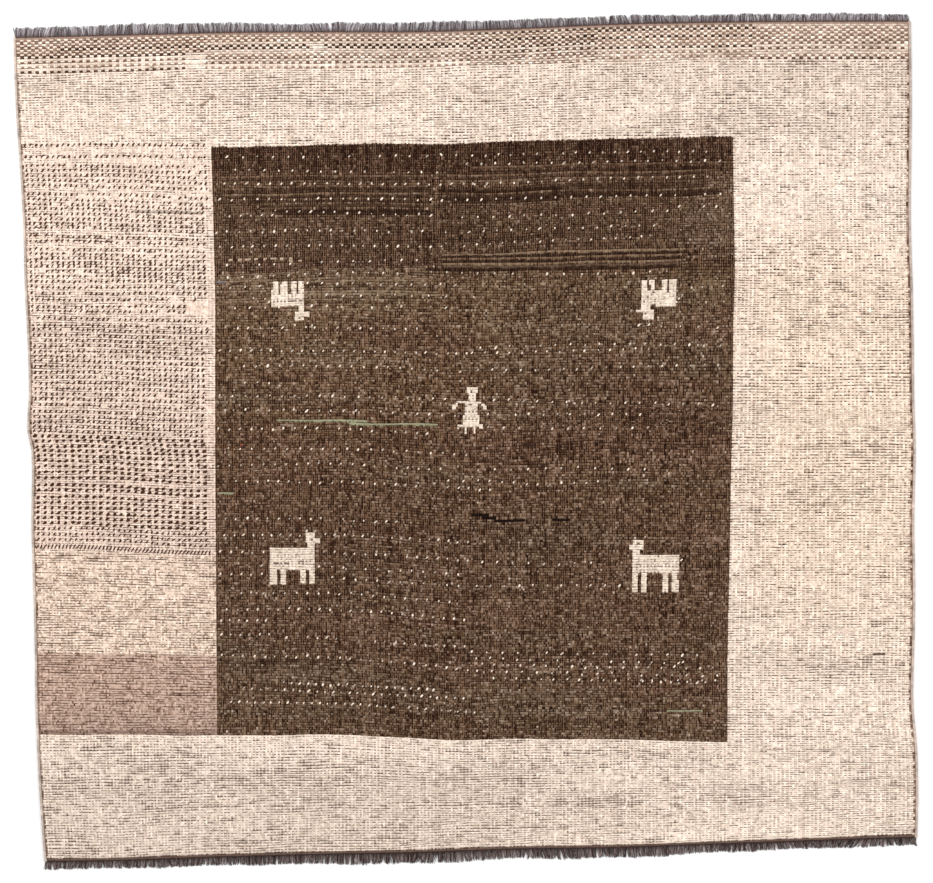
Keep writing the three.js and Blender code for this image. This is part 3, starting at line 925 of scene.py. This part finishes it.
tuft = {
    "foot": (1.0, 0.0062), "shoulder": (0.86, 0.0078),  # size and height of its two rings
    "crown": 0.0083, "rough": 0.00012, "offset": 0.0002,
    "pale": (0.0020, 0.0028), "dot": (0.0022, 0.0036), "pair": (0.0040, 0.0036),  # half width and length
    "last": (0.0022, 0.0034), "stroke": (0.0017, 0.0058),
    "spacing": {"dot": 5.42, "pair": 6.95, "stroke": 3.66},  # in pixels
}
paleRows = (  # from, to and spacing in pixels, then heights evenly along the row
    (227, 472, 15.3, 157, 155.3), (472, 713, 13, 155.8, 152, 151), (235, 436, 14.4, 170, 172.4),
    (453, 720, 14, 164, 160.2), (224, 475, 11.4, 183.5, 184), (473, 716, 13.8, 183.6, 179, 176),
    (220, 466, 12.35, 199.5, 198.3, 199.9), (481, 722, 15, 199, 196.5, 194), (219, 272, 10.7, 215.5, 215.5),
    (275, 429, 12, 210.3, 213, 215.5), (462, 672, 15.8, 217.8, 214.5, 210.6), (680, 723, 12, 206, 206),
    (216, 468, 11.5, 232.5, 230, 231, 232.3), (483, 655, 14.3, 230.8, 224.8),
    (220, 465, 11.1, 247, 245, 246, 246.3), (477, 644, 12.7, 244, 236.3),
    (227, 418, 15.8, 265, 264, 261, 259.7),
    (227, 473, 15.7, 277.4, 273, 272.5), (478, 671, 17.2, 273, 274, 271.2), (230, 265, 14.7, 287.8, 286),
    (308, 455, 14.7, 283, 284.7), (703, 722, 19, 286.4, 286.4), (236, 262, 17, 298.9, 298),
    (310, 445, 17, 295, 295.5), (235, 290, 14.9, 308.5, 307), (312, 448, 14.9, 306, 307),
    (226, 285, 11.3, 327.5, 328), (315, 422, 11.3, 328.4, 328.4), (661, 718, 19, 325.6, 328),
    (220, 471, 10.3, 350.3, 351, 353.8), (472, 656, 12.6, 352.4, 351.5, 347.6),
    (480, 725, 15, 348, 345, 343.4, 346.4), (232, 459, 12, 366, 365.5, 367, 371),
    (479, 718, 14.1, 369.6, 369.3, 366.5, 364.4), (244, 270, 13, 383, 383),
    (220, 444, 12.5, 395.5, 396.3, 398.5), (494, 723, 14.6, 400, 402.3, 402.7, 404.9),
    (233, 455, 12.3, 409.8, 410.5, 415.6), (488, 639, 13.8, 414.2, 414.2),
    (218, 434, 11, 429, 428.2, 433.3), (488, 649, 16, 427.8, 428.7, 428),
    (228, 472, 11.9, 448.5, 448.8, 455), (219, 440, 11.1, 465.2, 463.3, 469.8),
    (478, 640, 16.7, 470, 468, 469), (236, 469, 10.6, 481, 482.7, 488.4), (448, 463, 15, 480, 481),
    (478, 599, 12, 480.7, 484, 481.8), (479.5, 490, 10.5, 489.6, 489.6),
    (225, 400, 10.7, 519.4, 518.6, 522.3),
    (224, 300, 9.5, 534.8, 534.8), (325, 472, 9.5, 534, 542), (482, 622, 15.5, 561.3, 564, 562.5),
    (220, 268, 11, 552, 552), (324, 470, 10.3, 552, 560.5), (262, 262.5, 10, 565, 565),
    (320, 460, 11.5, 566.5, 574), (221, 262, 10, 574, 574), (332, 462, 11.5, 577.7, 586),
    (476, 619, 14.3, 586, 585), (614, 614.5, 10, 592, 592), (241, 449, 11, 592.7, 593.5, 602),
    (227, 462, 10.3, 609.5, 609, 612, 620), (221, 267, 9, 620, 620), (221, 268, 9.6, 634.5, 634.5),
    (287, 336, 10, 638, 638), (375, 472, 10, 641.4, 647.4), (222, 468, 10.7, 655.5, 656.6, 660.9, 669.6),
    (284, 433, 7.9, 682.4, 689.8), (244, 463, 8.1, 688.2, 698.2), (231, 473, 8.1, 701.7, 704, 712.4),
    (472, 697, 15, 652, 653.8, 655.5), (476, 683, 13.5, 658, 661, 663), (482, 715, 12.8, 664, 667, 668),
    (477, 717, 15, 671, 674, 676), (492, 716, 12.4, 678.5, 680, 680), (643, 710, 9, 681.4, 682.7),
)
paleSpots = (  # horns and tails of the goats, the figure's hands
    (295, 325), (299, 326), (306, 327), (312, 325.5), (265, 299), (269, 302), (639, 325), (649, 324.5),
    (676.6, 302), (679, 298.5), (682, 296), (306.6, 531), (315, 531.7), (635, 538), (645, 537),
    (681.5, 560), (258, 199), (683, 662), (487.6, 414.4),
)
dotRows = (  # heights of the dotted rows at the left edge, one dark knot in three
    144.7, 156.5, 165.6, 170.3, 175.2, 180.3, 185.7, 193.6, 199.3, 204.3, 208.8, 214, 218.6, 223.5, 227.5,
    236, 241, 249, 254, 258.4, 262.4, 266.3, 271.3, 276, 281, 287, 293, 299.4, 306.3, 311, 318, 325, 329.4,
    335, 340.5, 345.6, 351, 356.2, 361, 366.5, 372, 377, 382.5, 388, 393.6, 399, 404.8, 411.5, 417, 421.7,
    426.5, 431.2,
)
pairRows = (  # heights of the rows of two dark knots in four
    436.4, 440.8, 446, 450.5, 455.7, 461, 466.6, 471.7, 477, 485, 489.4, 496.7, 502, 507.3, 512.7, 518,
    523.3,
)
lastRows = (528.4, 533.8, 539.2)
rowDrops = (  # a height at the left edge, and how much lower that row is at its right end
    (150, 0), (165, 1), (200, 5), (235, 4), (250, 2.7), (266, 3.6), (281, 0.6), (310, 0.8), (318, 3.6),
    (340, 3), (352, 2.4), (368, 4.2), (385, 3.6), (436, 5), (490, 5.7), (520, 5.7), (552, 6.5),
)


def panelRow(height, spacing, jitter):
    # a dotted row of the left panel: it follows the weave, lower at its right end
    x0 = toPx(sideX("left", toY(height))) + 4
    x = np.arange(x0, 207, spacing)
    x = x + jitter * draw.standard_normal(len(x))
    heights, drops = np.array(rowDrops, float).T
    drop = np.interp(height, heights, drops)
    y = height + drop * smooth(70, 205, x) + 0.45 * np.sin(x / 23 + height)
    return x, y + 0.3 * draw.standard_normal(len(x))


def tuftPiece(name, x, y, halfWide, halfLong, slant, tones):
    # each tuft is a low six-sided lozenge, wide at its foot, with a round back and a slanted outline
    count = len(x)
    turn = np.arange(6) * np.pi / 3 + 0.3
    rings = []
    for size, z in (tuft["foot"], tuft["shoulder"]):
        ringX = size * halfWide[:, None] * np.cos(turn)[None]
        ringY = size * halfLong[:, None] * np.sin(turn)[None]
        ringX = ringX + slant[:, None] * ringY
        rough = tuft["rough"] * (size < 1)
        ringZ = np.full_like(ringX, z) + rough * draw.standard_normal(ringX.shape)
        rings.append(np.stack([x[:, None] + ringX, y[:, None] + ringY, ringZ], -1))
    crown = np.stack([x + tuft["offset"], y, np.full(count, tuft["crown"])], -1)[:, None]
    points = np.concatenate(rings + [crown], 1)
    k = np.arange(6)
    on = (k + 1) % 6
    shape = np.concatenate([
        np.stack([k, on, on + 6], -1), np.stack([k, on + 6, k + 6], -1),
        np.stack([k + 6, on + 6, np.full(6, 12)], -1),
        np.array([[0, 2, 1], [0, 3, 2], [0, 4, 3], [0, 5, 4]]),
    ])
    triangles = (shape[None] + 13 * np.arange(count)[:, None, None]).reshape(-1, 3)
    tone = np.repeat(yarnLight(tones), len(shape) * 3, axis=0)
    piece = makePiece(name, points.reshape(-1, 3), triangles, materials["tuft"], {"yarn": tone})
    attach(piece, "root")
    print(name, count, "tufts")
    return piece


def paleTufts():
    xs, ys = [], []
    for x0, x1, spacing, *heights in paleRows:
        x = np.arange(x0, x1 + 0.3 * spacing, spacing)
        x = x + 0.5 * draw.standard_normal(len(x))
        y = np.interp(x, np.linspace(x0, max(x1, x0 + 1), len(heights)), heights)
        xs.append(x)
        ys.append(y + 0.45 * draw.standard_normal(len(x)))
    x = np.concatenate(xs + [[p[0] for p in paleSpots]])
    y = np.concatenate(ys + [[p[1] for p in paleSpots]])
    keep = draw.random(len(x)) > 0.03
    x, y = x[keep], y[keep]
    size = 1 + 0.16 * draw.standard_normal(len(x))
    tones = wool["ivory"] * (1.04 - 0.28 * draw.random(len(x)) ** 2)[:, None]
    halfWide, halfLong = (half * size for half in tuft["pale"])
    slant = 0.4 + 0.25 * draw.standard_normal(len(x))
    return tuftPiece("paleTufts", toX(x), toY(y), halfWide, halfLong, slant, tones)


def darkTufts():
    xs, ys, wide, long, tones = [], [], [], [], []
    spacing = tuft["spacing"]
    for heights, apart, (halfWide, halfLong) in (
        (dotRows, spacing["dot"], tuft["dot"]), (pairRows, spacing["pair"], tuft["pair"]),
        (lastRows, spacing["dot"], tuft["last"]),
    ):
        for height in heights:
            x, y = panelRow(height, apart, 0.25)
            skip = draw.random(len(x)) < np.interp(height, [150, 330, 440], [0.06, 0.05, 0.01])
            bare = (x > 187) & (x < 213) & (y > 300) & (y < 316)
            keep = ~(skip | bare)
            dark = np.interp(height, [150, 330, 440], [1.25, 1.15, 1.05])
            if height in (485, 489.4):  # these two are the darkest
                dark = 1.0
            count = keep.sum()
            xs.append(x[keep])
            ys.append(y[keep])
            wide.append(halfWide * (1 + 0.15 * draw.standard_normal(count)))
            long.append(halfLong * (1 + 0.12 * draw.standard_normal(count)))
            tones.append(wool["brownDot"] * (dark + 0.3 * draw.random(count))[:, None])
    # the row of tall slanted strokes above the beige
    x = np.arange(toPx(sideX("left", toY(547))) + 3, 213, spacing["stroke"])
    xs.append(x)
    ys.append(546.5 + 6.3 * smooth(60, 205, x))
    wide.append(np.full(len(x), tuft["stroke"][0]))
    long.append(np.full(len(x), tuft["stroke"][1]))
    tones.append(wool["brownDot"] * (1.1 + 0.3 * draw.random(len(x)))[:, None])
    x, y = np.concatenate(xs), np.concatenate(ys)
    return tuftPiece("darkTufts", toX(x), toY(y), np.concatenate(wide), np.concatenate(long),
                     0.5 + 0.15 * draw.standard_normal(len(x)), np.vstack(tones))


tufts = [paleTufts(), darkTufts()]


# Side cords: yarn wound round the outermost warps

cord = {"halfWide": 0.0032, "halfHigh": 0.0028, "gap": 0.0001, "pitch": 0.0036, "perWrap": 4, "around": 6,
        "groove": 0.13, "slant": 0.6, "end": 0.6}


def sideCord(name, side, node, rgb):
    low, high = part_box(node)
    steps = int((high.y - low.y) / cord["pitch"] * cord["perWrap"])
    around = cord["around"]
    y = np.linspace(low.y, high.y, steps + 1)
    out = -1 if side == "left" else 1
    # the wrap's swell and groove come round as a slanting turn of the yarn
    x = sideX(side, y) + out * (cord["halfWide"] + cord["gap"])
    turn = np.arange(around) * 2 * np.pi / around + 0.26
    wrap = (y / cord["pitch"])[:, None] + turn[None] / (2 * np.pi) * cord["slant"]
    swell = 1 - cord["groove"] * (1 - np.abs(np.sin(np.pi * wrap)))
    swell = swell * (1 + 0.04 * slowDraws(y, low.y, high.y, 90))[:, None]
    swell[[0, -1]] *= cord["end"]
    ringX = x[:, None] + cord["halfWide"] * swell * np.cos(turn)[None]
    ringZ = np.maximum(cord["halfHigh"] + cord["halfHigh"] * swell * np.sin(turn)[None], 0)
    points = np.stack([ringX, np.repeat(y[:, None], around, 1), ringZ], -1).reshape(-1, 3)
    triangles = tube(steps, around)
    # the yarn changes slowly along the cord and a little from turn to turn
    lots = slowDraws(y, low.y, high.y, 60)
    wraps = slowDraws(y, low.y, high.y, 420)
    tone = np.asarray(rgb, float)[None] * (1 + 0.05 * lots + 0.06 * wraps)[:, None]
    skinTone = np.repeat(tone[:-1], around * 6, axis=0)
    capTone = np.repeat(tone[:1], len(triangles) * 3 - len(skinTone), axis=0)
    piece = makePiece(name, points, triangles, materials["cord"],
                      {"yarn": yarnLight(np.vstack([skinTone, capTone]))})
    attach(piece, "root")
    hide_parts(node)
    print(name, len(triangles), "triangles")
    return piece


cords = [
    sideCord("sideCordLeft", "left", "side_cord_left", (190, 174, 162)),
    sideCord("sideCordRight", "right", "side_cord_right", (186, 168, 156)),
]


# Woven ends: a narrow strip of plain weave and the cut warps standing out of it

ends = {"strip": 0.006, "past": 0.004, "steps": 620, "ribRows": 4, "low": 0.0003, "high": 0.0028,
        "swell": 0.0006, "rib": 0.00035, "slot": 0.012, "reach": (0.012, 0.03), "strands": 2450,
        "stations": 5, "thick": 0.00062, "lean": 0.0018, "locks": 340, "wave": 0.0008}


def warpReach(end, node, out):
    # how far the solid's cut warps reach past the slab, in slots along the end
    points = nodePoints(node)
    low, high = points[:, 0].min(), points[:, 0].max()
    slots = np.arange(low, high, ends["slot"])
    which = np.clip(((points[:, 0] - low) / ends["slot"]).astype(int), 0, len(slots) - 1)
    reach = np.full(len(slots), -9.0)
    np.maximum.at(reach, which, out * points[:, 1])
    middles = slots + ends["slot"] / 2
    return middles, np.clip(reach - out * endY(end, middles), *ends["reach"])


def endStrip(end, out, x, stripTone, rimTone):
    # plain weave: a low swell across the strip, with ribs up and down in turn
    steps, across = ends["steps"], ends["ribRows"]
    share = np.linspace(0, 1, across + 1)
    ribs = np.cos(np.pi * (np.arange(steps + 1)[:, None] + np.arange(across + 1)[None]))
    top = ends["high"] + ends["swell"] * np.sin(np.pi * share)[None] + ends["rib"] * ribs
    gridY = endY(end, x)[:, None] + out * (share * ends["strip"])[None]
    upper = np.stack([np.repeat(x[:, None], across + 1, 1), gridY, top], -1)
    lower = upper.copy()
    lower[..., 2] = ends["low"]
    rings = np.concatenate([upper, lower[:, ::-1]], 1)
    # the ribs change a little in tone, and the last weft by the cut warps is dark
    ribTone = 1 + 0.08 * draw.standard_normal(rings.shape[:2] + (1,))
    outer = smooth(0.4, 0.8, np.concatenate([share, share[::-1]]))[None, :, None]
    tones = (np.array(stripTone) * (1 - outer) + np.array(rimTone) * outer) * ribTone
    return rings.reshape(-1, 3), tones.reshape(-1, 3), tube(steps, rings.shape[1])


def cutWarps(end, out, x, node, strandTone, darkWoolAndShadeTone):
    # three-sided strands in leaning groups with wavy tips
    count, stations, locks = ends["strands"], ends["stations"], ends["locks"]
    root = np.linspace(x[0] + 0.001, x[-1] - 0.001, count) + 0.0004 * draw.standard_normal(count)
    pitch = (x[-1] - x[0]) / locks
    place = (root - x[0]) / pitch + 0.35 * slowDraws(root, x[0], x[-1], 90)
    lock = np.clip(place.astype(int), 0, locks)
    aside = place - lock - 0.5
    broad = slowDraws(root, x[0], x[-1], 30)
    lean = ends["lean"] * (0.75 * draw.standard_normal(locks + 1)[lock] + 1.7 * broad)
    lean = lean + 0.0015 * draw.standard_normal(count)
    length = np.interp(root, *warpReach(end, node, out)) - ends["strip"]
    length = 0.0025 + length * (1.02 - 0.22 * draw.random(count) ** 1.5 - 0.06 * np.abs(aside) ** 1.5)
    length = length * (1 - 0.12 * draw.random(locks + 1)[lock])
    t = np.linspace(0, 1, stations)[None]
    wave = ends["wave"] * np.sin(2.2 * np.pi * t + 6.3 * draw.random(locks + 1)[lock][:, None]) * t
    pathX = root[:, None] + lean[:, None] * t**1.3 + wave - 0.15 * (aside * pitch)[:, None] * t**1.5
    pathY = endY(end, root)[:, None] + out * (ends["strip"] * 0.8 + (length[:, None] + 0.0012) * t)
    lift = 0.0022 * draw.random(count)[:, None] - 0.0004
    pathZ = 0.0018 + lift * np.sin(np.pi * 0.8 * t) - 0.0009 * t
    thick = ends["thick"] * (1 - 0.25 * t**3) * (1 + 0.15 * draw.standard_normal(count)[:, None])
    turn = np.arange(3) * 2 * np.pi / 3 + 0.5
    strandX = pathX[..., None] + thick[..., None] * np.cos(turn)
    strandY = np.repeat(pathY[..., None], 3, -1)
    strandZ = np.maximum(pathZ[..., None] + thick[..., None] * np.sin(turn), 0.0001)
    points = np.stack([strandX, strandY, strandZ], -1).reshape(-1, 3)
    shift = (stations * 3) * np.arange(count)[:, None, None]
    triangles = (tube(stations - 1, 3)[None] + shift).reshape(-1, 3)
    # pale in the middle of a lock and along its length; the dark at a lock's sides and at its root is
    # painted shade, and single strands are paler or darker wool at random
    pale = 0.6 - 0.4 * np.abs(aside) + 0.4 * draw.standard_normal(count)
    pale = np.clip(pale[:, None] * smooth(-0.2, 0.5, t), 0, 1.15)[..., None]
    tones = np.array(darkWoolAndShadeTone) * (1 - pale) + np.array(strandTone) * pale
    return points, np.repeat(tones[:, :, None], 3, axis=2).reshape(-1, 3), triangles


def wovenEnd(name, end, node, stripTone, rimTone, strandTone, darkWoolAndShadeTone):
    out = 1 if end == "top" else -1
    x = np.linspace(sides[end][0, 0] - ends["past"], sides[end][-1, 0] + ends["past"], ends["steps"] + 1)
    stripPoints, stripTones, strip = endStrip(end, out, x, stripTone, rimTone)
    strandPoints, strandTones, strands = cutWarps(end, out, x, node, strandTone, darkWoolAndShadeTone)
    # the bottom end is the mirror image of the top one, so its faces turn the other way
    triangles = np.vstack([strip, strands + len(stripPoints)])[:, ::out]
    tones = yarnLight(np.vstack([stripTones, strandTones]))[triangles.ravel()]
    piece = makePiece(name, np.vstack([stripPoints, strandPoints]), triangles, materials["warp"],
                      {"yarn": tones})
    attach(piece, "root")
    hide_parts(node)
    print(name, len(triangles), "triangles")
    return piece


wovenEnds = [
    # the last colour of each end is its darker wool, also used as painted shade between the locks and at
    # the roots
    wovenEnd("wovenEndTop", "top", "woven_end_top",
             (170, 145, 130), (96, 72, 62), (196, 188, 192), (74, 60, 60)),
    wovenEnd("wovenEndBottom", "bottom", "woven_end_bottom",
             (112, 90, 79), (58, 42, 36), (138, 120, 116), (46, 34, 32)),
]
